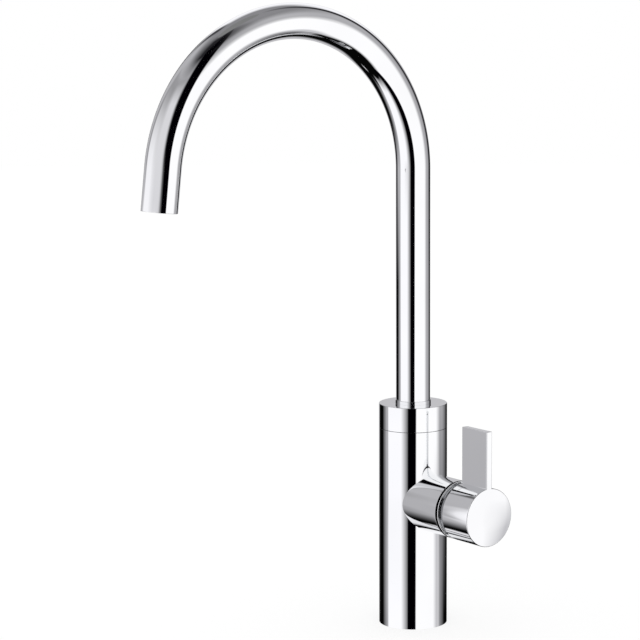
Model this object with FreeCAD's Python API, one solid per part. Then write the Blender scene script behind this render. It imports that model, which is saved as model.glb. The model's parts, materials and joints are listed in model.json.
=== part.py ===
"""Three way filtered water tap: a swan-neck spout on a round body with one side lever.

Millimetres.  The origin is the middle of the base on the worktop, +Z is up, the spout
points to -Y and the lever stands on the +X side.  Every piece is its own solid.
"""
import FreeCAD, Part
import math
import os

Vector = FreeCAD.Vector
UP = Vector(0, 0, 1)
OUTWARD = Vector(1, 0, 0)

# ---------------------------------------------------------------- driving dimensions
# Clearances that the fits share
seat_clearance = 0.05        # turned piece seated in a bore of the same body
running_clearance = 0.05     # shaft that turns in a hole, on the radius
moving_gap = 0.3             # between moving pieces that only pass each other
disc_film = 0.1              # water film between the two ceramic discs
edge_round = 0.4             # polished outer edges

# Body and collar
body_diameter = 50.0
body_wall = 4.0
lever_axis_height = 93.0
seam_rise = 53.0             # hairline seam above the lever axis
seam_gap = 0.2
collar_height = 18.0         # seam to the collar's flat top
neck_wall = 5.0
neck_height = 10.0
web_drop = 31.0              # solid part of the casting, below the lever axis

# Spout
tube_diameter = 25.0
tube_wall = 1.2
riser_height = 172.0         # collar top to the start of the arch
arch_radius = 108.0
arch_sweep = 173.5           # degrees of arch, 6.5 short of straight down
outlet_leg = 30.0            # straight end of the tube beyond the arch
socket_depth = 22.0          # spout socket below the seam
socket_radius = 16.0
shank_play = 1.0             # shank to socket, on the radius, taken up by the glide rings
glide_thickness = 1.5
glide_land = 3.4             # lower glide ring's bore beyond the shank's bore
upper_glide_height = 5.0
upper_glide_inset = 1.0      # upper glide ring below the neck's rim
ledge_lift = 0.2             # collar's ledge above the neck's rim, beyond the moving gap
shank_bore_radius = 9.0
spigot_length = 16.0         # shank spigot brazed inside the tube
foot_ring_wall = 0.55
foot_ring_rise = 2.5
foot_ring_seat = 7.0
swivel_each_way = 60.0       # degrees from straight ahead to each stop
stop_screw_radius = 2.0
stop_groove_depth = 2.0
stop_screw_rise = 12.0       # above the socket floor
stop_screw_recess = 1.5
stop_key_depth = 2.0
o_ring_section = 3.0         # thickness of the spout's two O-rings
lower_o_ring_rise = 5.5
upper_o_ring_rise = 19.5

# Base
insert_height = 16.0
insert_clearance = 0.1
stud_hole_radius = 4.0       # M8
stud_hole_depth = 14.0
inlet_hole_radius = 5.0      # M10x1
inlet_hole_depth = 9.0
inlet_circle_radius = 11.5
inlet_spacing = 75.0         # degrees between neighbouring inlets
seal_width = 2.6
seal_height = 1.8
seal_edge = 1.1              # insert rim outside the seal
feed_tube_radius = 4.0
feed_tube_wall = 1.0
feed_tube_seat = 5.0

# Lever side: stub, cartridge pocket and what fills it, outward along +X
stub_diameter = 42.0
pocket_floor = 8.0
supply_port_drop = 4.0       # hot and cold ports below the lever axis
filtered_port_drop = 11.0
filtered_port_rise = 11.0
mixed_port_side = 8.5
mixed_port_rise = 7.0
pocket_radius = 17.6
cartridge_radius = 17.4
cartridge_base_thickness = 6.0
port_radius = 2.6
port_seal_wall = 1.5
port_seal_thickness = 1.2
peg_radius = 1.5
peg_length = 3.0
left_peg_side = 12.0
left_peg_rise = 8.0
right_peg_side = 8.0
right_peg_drop = 13.0
housing_wall = 2.9
housing_end_wall = 3.2
snout_wall = 2.7
fixed_disc_thickness = 4.0
moving_disc_thickness = 3.0
moving_disc_radius = 10.2
disc_port_radius = 2.2
disc_port_share = 0.6        # the base leads the ports in to this share of their radius
mixing_recess_depth = 1.4
mixing_recess_radius = 3.5
mixing_recess_drop = 3.4     # its middle below the moving disc's axis
mixing_wing_reach = 6.0
mixing_wing_height = 3.2
driver_thickness = 7.9
driver_radius = 9.6
driver_half_width = 7.5
cheek_gap = 0.9              # carrier's cheeks clear of the moving disc
carrier_flange_thickness = 6.7
carrier_neck_radius = 9.5
pivot_rise = 8.0             # pivot beyond the carrier flange
neck_beyond_pivot = 5.0
snout_beyond_pivot = 6.0
pin_radius = 2.0
pin_inset = 0.1              # pin's ends inside the carrier's neck
stem_ball_radius = 3.2
ball_floor = 1.0             # driver left under the ball's pocket
ball_play = 0.4
stem_arm_radius = 2.4
stem_boss_radius = 4.5
stem_boss_reach = 6.0
stem_square = 8.0
stem_square_start = 3.0      # from the pivot
stem_grip = 10.0             # length of the stem inside the handle
nut_height = 8.5
nut_clearance = 0.1
nut_key_width = 4.0
nut_key_depth = 3.0
nut_key_wall = 2.5           # ring left inside the key slots
mouth_beyond_pivot = 9.5     # stub end beyond the pivot
dome_seat_depth = 5.0
dome_wall = 1.2
dome_hole_radius = 13.0
dome_clearance = 1.6

# Handle
handle_gap = 5.0             # shadow gap between stub and handle
handle_length = 27.0
skirt_wall = 2.0
skirt_depth = 11.5
blade_thickness = 5.0
blade_rise = 62.0            # top of the blade above the lever axis
tilt_range = 20.0            # degrees from shut to full flow
grub_radius = 2.5
grub_length = 8.0
grub_inset = 5.0             # grub screw beyond the skirt's floor
grub_key_depth = 3.0
plug_length = 3.0
plug_inset = 0.2

# Outlet
aerator_clearance = 0.05
aerator_length = 10.0
aerator_wall = 1.4
aerator_recess = 1.2
insert_thickness = 5.2
insert_inset = 0.4           # jet plate behind the housing's rim
aerator_seal_width = 2.0
aerator_seal_thickness = 2.0
jet_radius = 0.9
jets_in_ring = 14
nozzle_radius = 4.0
nozzle_bore = 2.0
nozzle_length = 7.5
nozzle_spigot_length = 5.0
inner_tube_radius = 4.0
inner_tube_wall = 1.0

# Filtered water coupling between body and spout
nipple_radius = 3.5
nipple_bore = 2.0
nipple_seat = 8.0
nipple_rise = 13.0
coupling_radius = 6.0
coupling_skirt = 7.0         # how far the coupling reaches down over the nipple
coupling_head = 5.0          # coupling above the nipple
coupling_ring_rise = 2.5
coupling_ring_section = 1.6
coupling_rib_width = 2.0
coupling_rib_height = 8.0
coupling_spigot_length = 10.0

# ---------------------------------------------------------------- derived places
body_radius = body_diameter / 2
cavity_radius = body_radius - body_wall
seam_height = lever_axis_height + seam_rise
collar_top = seam_height + collar_height
web_low = lever_axis_height - web_drop
tube_radius = tube_diameter / 2
tube_bore_radius = tube_radius - tube_wall
arch_height = collar_top + riser_height

socket_floor = seam_height - socket_depth
neck_top = seam_height + neck_height
neck_radius = socket_radius + neck_wall
collar_ledge = neck_top + moving_gap + ledge_lift
shank_radius = socket_radius - shank_play
shank_low = socket_floor + glide_thickness + moving_gap
shank_top = collar_ledge - moving_gap
foot_ring_radius = tube_radius + running_clearance + foot_ring_wall

insert_radius = cavity_radius - insert_clearance
stub_radius = stub_diameter / 2
base_face = pocket_floor + cartridge_base_thickness
disc_face = base_face + fixed_disc_thickness
moving_disc_low = disc_face + disc_film
driver_low = moving_disc_low + moving_disc_thickness
driver_high = driver_low + driver_thickness
flange_low = driver_high + moving_gap
flange_high = flange_low + carrier_flange_thickness
pivot_x = flange_high + pivot_rise
housing_bore = cartridge_radius - housing_wall
housing_roof = flange_high + moving_gap
housing_shoulder = housing_roof + housing_end_wall
snout_bore = carrier_neck_radius + running_clearance
snout_radius = snout_bore + snout_wall
snout_end = pivot_x + snout_beyond_pivot
neck_end = pivot_x + neck_beyond_pivot
stub_end = pivot_x + mouth_beyond_pivot
dome_seat = stub_end - dome_seat_depth
handle_rear = stub_end + handle_gap
handle_end = handle_rear + handle_length
handle_radius = stub_radius
skirt_radius = handle_radius - skirt_wall
skirt_floor = handle_rear + skirt_depth
dome_radius = math.hypot(handle_rear - pivot_x, skirt_radius) - dome_clearance
dome_rim_radius = dome_radius * math.cos(math.radians(30.0))
stem_end = skirt_floor + stem_grip
ball_x = driver_low + moving_gap + ball_floor + ball_play + stem_ball_radius
ball_arm = pivot_x - ball_x
disc_travel = ball_arm * math.sin(math.radians(tilt_range))

# Where the waterways cross the pocket floor: (y, height above the lever axis)
inlet_side = inlet_circle_radius * math.sin(math.radians(inlet_spacing))
inlet_set_back = inlet_circle_radius * math.cos(math.radians(inlet_spacing))
PORTS = {
    "hot_in": (inlet_side, -supply_port_drop),
    "cold_in": (-inlet_side, -supply_port_drop),
    "filtered_in": (0.0, -filtered_port_drop),
    "mixed_out": (mixed_port_side, mixed_port_rise),
    "filtered_out": (0.0, filtered_port_rise),
}
PEGS = [(-left_peg_side, left_peg_rise), (right_peg_side, -right_peg_drop)]
FEEDS = {
    "hot": (-inlet_set_back, inlet_side),
    "cold": (-inlet_set_back, -inlet_side),
    "filtered": (-inlet_circle_radius, 0.0),
}


# ---------------------------------------------------------------- form helpers
def upright(radius, low, high, x=0.0, y=0.0):
    """Cylinder along +Z from height low to high."""
    return Part.makeCylinder(radius, high - low, Vector(x, y, low), UP)


def upright_ring(inner, outer, low, high):
    """Plain ring about the body axis."""
    return upright(outer, low, high).cut(upright(inner, low - 1, high + 1))


def sideways(radius, near, far, y=0.0, rise=0.0):
    """Cylinder along +X, with y and rise measured from the lever axis."""
    start = Vector(near, y, lever_axis_height + rise)
    return Part.makeCylinder(radius, far - near, start, OUTWARD)


def sideways_ring(inner, outer, near, far):
    """Plain ring about the lever axis."""
    return sideways(outer, near, far).cut(sideways(inner, near - 1, far + 1))


def lever_box(near, far, y_low, y_high, rise_low, rise_high):
    """Box with its heights measured from the lever axis."""
    corner = Vector(near, y_low, lever_axis_height + rise_low)
    return Part.makeBox(far - near, y_high - y_low, rise_high - rise_low, corner)


def round_ring(inner, section, height):
    """O-ring about the body axis: inner radius, thickness of its round section."""
    middle = inner + section / 2
    return Part.makeTorus(middle, section / 2, Vector(0, 0, height), UP)


def hexagon_recess(across_flats, depth, mouth, direction):
    """Hexagon key socket that starts at mouth and goes along direction."""
    corner = across_flats / math.sqrt(3)
    points = []
    for turn in range(7):
        angle = math.radians(60 * turn)
        points.append(Vector(corner * math.cos(angle), corner * math.sin(angle), 0))
    prism = Part.Face(Part.makePolygon(points)).extrude(Vector(0, 0, depth))
    prism.Placement = FreeCAD.Placement(mouth, FreeCAD.Rotation(UP, direction))
    return prism


def round_edges(shape, radius, chosen):
    """Fillet the edges that the test chosen(edge) picks."""
    return shape.makeFillet(radius, [edge for edge in shape.Edges if chosen(edge)])


def rim_at(axis_value, radius, axis="z"):
    """Test for a full circle of this radius at this place along an axis."""
    def chosen(edge):
        if not isinstance(edge.Curve, Part.Circle):
            return False
        centre = getattr(edge.Curve.Center, axis)
        same_place = abs(centre - axis_value) < 0.01
        return same_place and abs(edge.Curve.Radius - radius) < 0.01
    return chosen


def swan_neck(outer, inner, low, leg):
    """Tube that rises on the body axis, bends over to -Y and ends in a straight leg."""
    ring = Part.Face([
        Part.Wire(Part.makeCircle(outer, Vector(0, 0, arch_height), UP)),
        Part.Wire(Part.makeCircle(inner, Vector(0, 0, arch_height), UP)),
    ])
    ring.validate()
    arch = ring.revolve(Vector(0, -arch_radius, arch_height), OUTWARD, arch_sweep)
    riser = upright_ring(inner, outer, low, arch_height)
    straight = at_outlet(upright_ring(inner, outer, outlet_leg - leg, outlet_leg))
    return riser.fuse([arch, straight]).removeSplitter()


def at_outlet(shape):
    """Move a piece, made with +Z back up the leg from the tube's cut end, to the outlet."""
    angle = math.radians(arch_sweep)
    along = Vector(0, -math.sin(angle), math.cos(angle))
    bend_end = Vector(0, arch_radius * (math.cos(angle) - 1),
                      arch_height + arch_radius * math.sin(angle))
    turn = FreeCAD.Placement(bend_end.add(along * outlet_leg),
                             FreeCAD.Rotation(OUTWARD, arch_sweep - 180.0))
    shape.Placement = turn.multiply(shape.Placement)
    return shape


# ---------------------------------------------------------------- body pieces
def waterways():
    """Drilled passages in the casting, from the feed tubes to the ports and upwards."""
    bores = []
    feed_ports = {"hot": "hot_in", "cold": "cold_in", "filtered": "filtered_in"}
    for feed, (x, y) in FEEDS.items():
        port_y, port_rise = PORTS[feed_ports[feed]]
        bores.append(upright(feed_tube_radius, web_low - 1, web_low + feed_tube_seat, x, y))
        top = lever_axis_height + port_rise + port_radius
        bores.append(upright(port_radius, web_low, top, x, y))
        bores.append(sideways(port_radius, x, pocket_floor + 1, port_y, port_rise))
    mixed_y, mixed_rise = PORTS["mixed_out"]
    mixed_x = -inlet_set_back
    start = lever_axis_height + mixed_rise - port_radius
    bores.append(upright(port_radius, start, socket_floor + 1, mixed_x, mixed_y))
    bores.append(sideways(port_radius, mixed_x, pocket_floor + 1, mixed_y, mixed_rise))
    filtered_rise = PORTS["filtered_out"][1]
    start = lever_axis_height + filtered_rise - nipple_bore
    bores.append(upright(nipple_bore, start, socket_floor + 1))
    bores.append(sideways(nipple_bore, 0, pocket_floor + 1, 0.0, filtered_rise))
    bores.append(upright(nipple_radius, socket_floor - nipple_seat, socket_floor + 1))
    return bores


def body_casing():
    """One casting: round body, side stub and threaded neck, bored for all it holds."""
    body = upright(body_radius, 0, seam_height)
    body = round_edges(body, seam_gap, rim_at(seam_height, body_radius))
    neck = upright(neck_radius, seam_height - 1, neck_top)
    stub = round_edges(sideways(stub_radius, 0, stub_end), edge_round,
                       rim_at(stub_end, stub_radius, "x"))
    bores = [
        upright(cavity_radius, -1, web_low),
        upright(socket_radius, socket_floor, neck_top + 1),
        sideways(pocket_radius, pocket_floor, stub_end + 1),
        sideways(dome_rim_radius + seat_clearance, dome_seat, stub_end + 1),
        stop_screw_bore(),
    ]
    for y, rise in PEGS:
        bores.append(sideways(peg_radius + seat_clearance, pocket_floor - peg_length - 1,
                              pocket_floor + 1, y, rise))
    return body.fuse([neck, stub]).removeSplitter().cut(bores + waterways())


def stop_screw_bore():
    start = Vector(0, socket_radius - 1, socket_floor + stop_screw_rise)
    length = body_radius - socket_radius + 2
    return Part.makeCylinder(stop_screw_radius, length, start, Vector(0, 1, 0))


def swivel_stop_screw():
    """Grub screw at the back whose tip runs in the shank's groove."""
    height = socket_floor + stop_screw_rise
    tip = shank_radius - stop_groove_depth + moving_gap
    head = body_radius - stop_screw_recess
    screw = Part.makeCylinder(stop_screw_radius, head - tip, Vector(0, tip, height),
                              Vector(0, 1, 0))
    key = hexagon_recess(stop_screw_radius, stop_key_depth, Vector(0, head, height),
                         Vector(0, -1, 0))
    return screw.cut(key)


def top_collar():
    """Cap ring screwed over the neck; its ledge keeps the spout shank down."""
    low = seam_height + seam_gap
    collar = upright(body_radius, low, collar_top)
    collar = round_edges(collar, edge_round, rim_at(collar_top, body_radius))
    collar = round_edges(collar, seam_gap, rim_at(low, body_radius))
    collar = collar.cut(upright(neck_radius + insert_clearance, low - 1, collar_ledge))
    return collar.cut(upright(foot_ring_radius, collar_ledge - 1, collar_top + 1))


def spout_foot_ring():
    """Bright bush between the collar and the foot of the turning tube."""
    low = collar_top - foot_ring_seat
    high = collar_top + foot_ring_rise
    return upright_ring(tube_radius + running_clearance, foot_ring_radius, low, high)


def lower_glide_ring():
    inner = shank_bore_radius + glide_land
    outer = socket_radius - insert_clearance
    return upright_ring(inner, outer, socket_floor, socket_floor + glide_thickness)


def upper_glide_ring():
    high = neck_top - upper_glide_inset
    inner = shank_radius + running_clearance
    return upright_ring(inner, socket_radius, high - upper_glide_height, high)


def filtered_nipple():
    """Short pipe in the middle of the socket that feeds the spout's inner tube."""
    low = socket_floor - nipple_seat
    return upright_ring(nipple_bore, nipple_radius, low, socket_floor + nipple_rise)


def base_insert():
    """Brass plug that closes the base, with the stud hole and the three inlets."""
    insert = upright(insert_radius, 0, insert_height)
    seal_outer = insert_radius - seal_edge
    cuts = [
        upright(stud_hole_radius, -1, stud_hole_depth),
        upright_ring(seal_outer - seal_width, seal_outer, -1, seal_height),
    ]
    seat_low = insert_height - feed_tube_seat
    for x, y in FEEDS.values():
        cuts.append(upright(inlet_hole_radius, -1, inlet_hole_depth, x, y))
        cuts.append(upright(port_radius, 0, insert_height + 1, x, y))
        cuts.append(upright(feed_tube_radius, seat_low, insert_height + 1, x, y))
    return insert.cut(cuts)


def base_seal():
    outer = insert_radius - seal_edge - seat_clearance
    inner = insert_radius - seal_edge - seal_width + seat_clearance
    return upright_ring(inner, outer, 0, seal_height)


def feed_tube(feed):
    """Copper pipe from the base insert up into the casting."""
    x, y = FEEDS[feed]
    low = insert_height - feed_tube_seat
    high = web_low + feed_tube_seat
    pipe = upright(feed_tube_radius - seat_clearance, low, high, x, y)
    return pipe.cut(upright(feed_tube_radius - feed_tube_wall, low - 1, high + 1, x, y))


# ---------------------------------------------------------------- cartridge pieces
def led_in(position):
    """A port's place on the ceramic discs, nearer the axis than on the pocket floor."""
    return position[0] * disc_port_share, position[1] * disc_port_share


def cartridge_base():
    """Foot of the cartridge: slanting ways lead the five ports in to the discs."""
    base = sideways(cartridge_radius, pocket_floor, base_face)
    cuts = []
    for port in PORTS.values():
        inner_y, inner_rise = led_in(port)
        start = Vector(pocket_floor, port[0], lever_axis_height + port[1])
        end = Vector(base_face, inner_y, lever_axis_height + inner_rise)
        way = end.sub(start)
        unit = Vector(way).normalize()
        cuts.append(Part.makeCylinder(disc_port_radius, way.Length + 4, start.sub(unit * 2), way))
        cuts.append(sideways(port_radius + port_seal_wall, pocket_floor - 1,
                             pocket_floor + port_seal_thickness, *port))
    pegs = []
    for y, rise in PEGS:
        pegs.append(sideways(peg_radius, pocket_floor - peg_length, base_face - 1, y, rise))
    return base.cut(cuts).fuse(pegs).removeSplitter()


def port_seals():
    """Five rubber rings between the cartridge foot and the pocket floor."""
    rings = []
    outer_radius = port_radius + port_seal_wall - seat_clearance
    for port in PORTS.values():
        far = pocket_floor + port_seal_thickness
        ring = sideways(outer_radius, pocket_floor, far, *port)
        rings.append(ring.cut(sideways(port_radius, pocket_floor - 1, far + 1, *port)))
    return Part.makeCompound(rings)


def fixed_ceramic_disc():
    disc = sideways(housing_bore - moving_gap, base_face, disc_face)
    holes = []
    for port in PORTS.values():
        holes.append(sideways(disc_port_radius, base_face - 1, disc_face + 1, *led_in(port)))
    return disc.cut(holes)


def moving_ceramic_disc():
    """Upper disc, shut at rest, with the recess that joins ports when it slides."""
    shut = -disc_travel / 2
    disc = sideways(moving_disc_radius, moving_disc_low, driver_low, 0.0, shut)
    far = moving_disc_low + mixing_recess_depth
    middle = shut - mixing_recess_drop
    half = mixing_wing_height / 2
    recess = sideways(mixing_recess_radius, moving_disc_low - 1, far, 0.0, middle)
    wings = lever_box(moving_disc_low - 1, far, -mixing_wing_reach, mixing_wing_reach,
                      middle - half, middle + half)
    return disc.cut([recess, wings])


def disc_driver():
    """Slider on the moving disc, with flats for the carrier and a pocket for the ball."""
    shut = -disc_travel / 2
    driver = sideways(driver_radius, driver_low, driver_high, 0.0, shut)
    reach = driver_radius + 1
    driver = driver.common(lever_box(driver_low, driver_high, -driver_half_width,
                                     driver_half_width, shut - reach, shut + reach))
    half = stem_ball_radius + moving_gap
    pocket_low = ball_x - stem_ball_radius - ball_play
    pocket = lever_box(pocket_low, driver_high + 1, -half, half, -half, half)
    return driver.cut(pocket)


def cartridge_housing():
    """Plastic barrel of the cartridge with its snout."""
    barrel = sideways(cartridge_radius, base_face, housing_shoulder)
    snout = sideways(snout_radius, housing_shoulder - 1, snout_end)
    housing = barrel.fuse(snout).removeSplitter()
    return housing.cut([
        sideways(housing_bore, base_face - 1, housing_roof),
        sideways(snout_bore, housing_roof - 1, snout_end + 1),
    ])


def cartridge_carrier():
    """Turning carrier: fork over the driver, flange, and forked neck for the pivot pin."""
    cheek_low = driver_low + cheek_gap
    carrier = sideways(housing_bore - moving_gap, cheek_low, flange_high)
    carrier = carrier.fuse(sideways(carrier_neck_radius, flange_high - 1, neck_end))
    carrier = carrier.removeSplitter()
    guide = driver_half_width + moving_gap
    wide = housing_bore + 1
    slot = stem_boss_radius + moving_gap
    ball_clearance = stem_ball_radius + moving_gap
    pin_bore = Part.makeCylinder(pin_radius, 2 * wide, Vector(pivot_x, -wide, lever_axis_height),
                                 Vector(0, 1, 0))
    return carrier.cut([
        lever_box(cheek_low - 1, flange_low, -guide, guide, -wide, wide),
        lever_box(flange_low - 1, flange_high + 1, -slot, slot,
                  -ball_clearance, disc_travel + ball_clearance),
        lever_box(flange_high, neck_end + 1, -slot, slot, -wide, wide),
        pin_bore,
    ])


def pivot_pin():
    half = math.sqrt(carrier_neck_radius ** 2 - pin_radius ** 2) - pin_inset
    return Part.makeCylinder(pin_radius, 2 * half, Vector(pivot_x, -half, lever_axis_height),
                             Vector(0, 1, 0))


def cartridge_nut():
    """Threaded ring with four key slots that clamps the cartridge down."""
    near = housing_shoulder
    far = near + nut_height
    nut = sideways_ring(snout_radius + seat_clearance, pocket_radius - nut_clearance, near, far)
    slots = []
    for turn in range(4):
        slot = lever_box(far - nut_key_depth, far + 1, snout_radius + nut_key_wall,
                         pocket_radius + 1, -nut_key_width / 2, nut_key_width / 2)
        slot.rotate(Vector(0, 0, lever_axis_height), OUTWARD, 90.0 * turn)
        slots.append(slot)
    return nut.cut(slots)


def trim_dome():
    """Chrome dome in the stub's mouth, round about the pivot so the skirt clears it."""
    def at(radius, angle):
        """Point at this angle from the lever axis on a circle about the pivot."""
        turned = math.radians(angle)
        return Vector(pivot_x + radius * math.cos(turned), 0,
                      lever_axis_height + radius * math.sin(turned))

    def angle_of(radius, rise):
        return math.degrees(math.asin(rise / radius))

    inner_radius = dome_radius - dome_wall
    inner_rim = dome_rim_radius - dome_wall
    rim_angle = angle_of(dome_radius, dome_rim_radius)
    hole_angle = angle_of(dome_radius, dome_hole_radius)
    inner_hole_angle = angle_of(inner_radius, dome_hole_radius)
    inner_rim_angle = angle_of(inner_radius, inner_rim)
    seat_outer = Vector(dome_seat, 0, lever_axis_height + dome_rim_radius)
    seat_inner = Vector(dome_seat, 0, lever_axis_height + inner_rim)
    outline = Part.Wire([edge.toShape() for edge in (
        Part.LineSegment(seat_outer, at(dome_radius, rim_angle)),
        Part.Arc(at(dome_radius, rim_angle),
                 at(dome_radius, (rim_angle + hole_angle) / 2),
                 at(dome_radius, hole_angle)),
        Part.LineSegment(at(dome_radius, hole_angle), at(inner_radius, inner_hole_angle)),
        Part.Arc(at(inner_radius, inner_hole_angle),
                 at(inner_radius, (inner_hole_angle + inner_rim_angle) / 2),
                 at(inner_radius, inner_rim_angle)),
        Part.LineSegment(at(inner_radius, inner_rim_angle), seat_inner),
        Part.LineSegment(seat_inner, seat_outer),
    )])
    return Part.Face(outline).revolve(Vector(0, 0, lever_axis_height), OUTWARD, 360)


# ---------------------------------------------------------------- lever pieces
def cartridge_stem():
    """Steel stem: ball at the driver, cross-bored boss at the pivot, square in the handle."""
    boss_near = pivot_x - stem_boss_reach
    square_near = pivot_x + stem_square_start
    half = stem_square / 2
    ball = Part.makeSphere(stem_ball_radius, Vector(ball_x, 0, lever_axis_height))
    arm = sideways(stem_arm_radius, ball_x, boss_near + 1)
    boss = sideways(stem_boss_radius, boss_near, square_near + 1)
    square = lever_box(square_near, stem_end, -half, half, -half, half)
    pin_bore = Part.makeCylinder(pin_radius + running_clearance, 4 * stem_boss_radius,
                                 Vector(pivot_x, -2 * stem_boss_radius, lever_axis_height),
                                 Vector(0, 1, 0))
    return ball.fuse([arm, boss, square]).removeSplitter().cut(pin_bore)


def lever_handle():
    """Handle: a cup over the dome, with a flat blade standing on it."""
    cup = round_edges(sideways(handle_radius, handle_rear, handle_end), edge_round,
                      rim_at(handle_end, handle_radius, "x"))
    half = blade_thickness / 2
    blade = lever_box(handle_rear, handle_end, -half, half, skirt_radius, blade_rise)
    blade = round_edges(blade, edge_round,
                        lambda edge: edge.CenterOfMass.z > lever_axis_height + skirt_radius + 1)
    handle = cup.fuse(blade).removeSplitter()
    socket = stem_square / 2 + seat_clearance
    grub_x = skirt_floor + grub_inset
    return handle.cut([
        sideways(skirt_radius, handle_rear - 1, skirt_floor),
        lever_box(skirt_floor - 1, stem_end + 1, -socket, socket, -socket, socket),
        upright(grub_radius, lever_axis_height - handle_radius - 1, lever_axis_height, grub_x),
    ])


def handle_grub_screw():
    """Screw that holds the handle on the stem, from below."""
    top = lever_axis_height - stem_square / 2
    grub_x = skirt_floor + grub_inset
    screw = upright(grub_radius, top - grub_length, top, grub_x)
    mouth = Vector(grub_x, 0, top - grub_length)
    return screw.cut(hexagon_recess(grub_radius, grub_key_depth, mouth, UP))


def grub_screw_plug():
    low = lever_axis_height - handle_radius + plug_inset
    return upright(grub_radius, low, low + plug_length, skirt_floor + grub_inset)


# ---------------------------------------------------------------- spout pieces
def spout_tube():
    return swan_neck(tube_radius, tube_bore_radius, shank_top, outlet_leg)


def spout_shank():
    """Turned brass foot of the spout, with O-ring grooves and the stop groove."""
    shank = upright(shank_radius, shank_low, shank_top)
    spigot = upright(tube_bore_radius - seat_clearance, shank_top - 1, shank_top + spigot_length)
    shank = shank.fuse(spigot).removeSplitter()
    cuts = [upright(shank_bore_radius, shank_low - 1, shank_top + spigot_length + 1)]
    groove_radius = socket_radius - running_clearance - o_ring_section - seat_clearance
    for rise in (lower_o_ring_rise, upper_o_ring_rise):
        height = socket_floor + rise
        half = o_ring_section / 2 + 0.1
        cuts.append(upright_ring(groove_radius, shank_radius + 1, height - half, height + half))
    cuts.append(stop_groove())
    return shank.cut(cuts)


def stop_groove():
    """Part-circle groove at the back: its ends meet the stop screw."""
    floor_radius = shank_radius - stop_groove_depth
    height = socket_floor + stop_screw_rise
    half = stop_screw_radius + moving_gap
    screw_angle = math.degrees(math.asin((stop_screw_radius + moving_gap) / floor_radius))
    reach = swivel_each_way + screw_angle
    low = Vector(0, 0, height - half)
    sector = Part.makeCylinder(shank_radius + 1, 2 * half, low, UP, 2 * reach)
    sector.rotate(Vector(0, 0, 0), UP, 90.0 - reach)
    return sector.cut(upright(floor_radius, height - half - 1, height + half + 1))


def spout_o_rings():
    inner = socket_radius - running_clearance - o_ring_section
    rings = []
    for rise in (lower_o_ring_rise, upper_o_ring_rise):
        rings.append(round_ring(inner, o_ring_section, socket_floor + rise))
    return Part.makeCompound(rings)


def coupling_low():
    return socket_floor + nipple_rise - coupling_skirt


def coupling_top():
    return socket_floor + nipple_rise + coupling_head


def inner_tube_coupling():
    """Ribbed coupling in the shank that turns on the nipple and carries the inner tube."""
    low = coupling_low()
    top = coupling_top()
    body = upright(coupling_radius, low, top)
    rib_radius = shank_bore_radius - seat_clearance
    ribs = []
    for turn in range(3):
        rib = Part.makeBox(rib_radius, coupling_rib_width, coupling_rib_height,
                           Vector(0, -coupling_rib_width / 2, top - coupling_rib_height))
        rib.rotate(Vector(0, 0, 0), UP, 120.0 * turn)
        ribs.append(rib.common(upright(rib_radius, low, top)))
    spigot = upright(inner_tube_radius - inner_tube_wall, top - 1, top + coupling_spigot_length)
    body = body.fuse(ribs + [spigot]).removeSplitter()
    ring_height = low + coupling_ring_rise
    groove_half = coupling_ring_section / 2 + 0.1
    groove_radius = nipple_radius + running_clearance + coupling_ring_section + seat_clearance
    return body.cut([
        upright(nipple_radius + running_clearance, low - 1, socket_floor + nipple_rise + 1),
        upright(nipple_bore, low, top + coupling_spigot_length + 1),
        upright(groove_radius, ring_height - groove_half, ring_height + groove_half),
    ])


def coupling_o_ring():
    inner = nipple_radius + running_clearance
    return round_ring(inner, coupling_ring_section, coupling_low() + coupling_ring_rise)


def filtered_water_tube():
    """Plastic tube inside the spout that keeps the filtered water apart."""
    inner = inner_tube_radius - inner_tube_wall + seat_clearance
    end = aerator_recess + nozzle_length + moving_gap
    return swan_neck(inner_tube_radius, inner, coupling_top(), outlet_leg - end)


def aerator_housing():
    outer = tube_bore_radius - aerator_clearance
    low = aerator_recess
    return at_outlet(upright_ring(outer - aerator_wall, outer, low, low + aerator_length))


def aerator_insert():
    """Ring-shaped jet plate round the filtered water nozzle."""
    outer = tube_bore_radius - aerator_clearance - aerator_wall - seat_clearance
    inner = nozzle_radius + seat_clearance
    low = aerator_recess + insert_inset
    high = low + insert_thickness
    plate = upright_ring(inner, outer, low, high)
    middle = (inner + outer) / 2
    jets = []
    for jet in range(jets_in_ring):
        angle = 2 * math.pi * jet / jets_in_ring
        jets.append(upright(jet_radius, low - 1, high + 1,
                            middle * math.cos(angle), middle * math.sin(angle)))
    return at_outlet(plate.cut(jets))


def aerator_seal():
    outer = tube_bore_radius - aerator_clearance - aerator_wall - seat_clearance
    low = aerator_recess + insert_inset + insert_thickness
    high = low + aerator_seal_thickness
    return at_outlet(upright_ring(outer - aerator_seal_width, outer, low, high))


def filtered_nozzle():
    """Centre outlet for filtered water, pushed into the inner tube."""
    low = aerator_recess
    shoulder = low + nozzle_length
    nozzle = upright(nozzle_radius, low, shoulder)
    spigot_radius = inner_tube_radius - inner_tube_wall
    spigot = upright(spigot_radius, shoulder - 1, shoulder + nozzle_spigot_length)
    bore = upright(nozzle_bore, low - 1, shoulder + nozzle_spigot_length + 1)
    return at_outlet(nozzle.fuse(spigot).removeSplitter().cut(bore))


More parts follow.
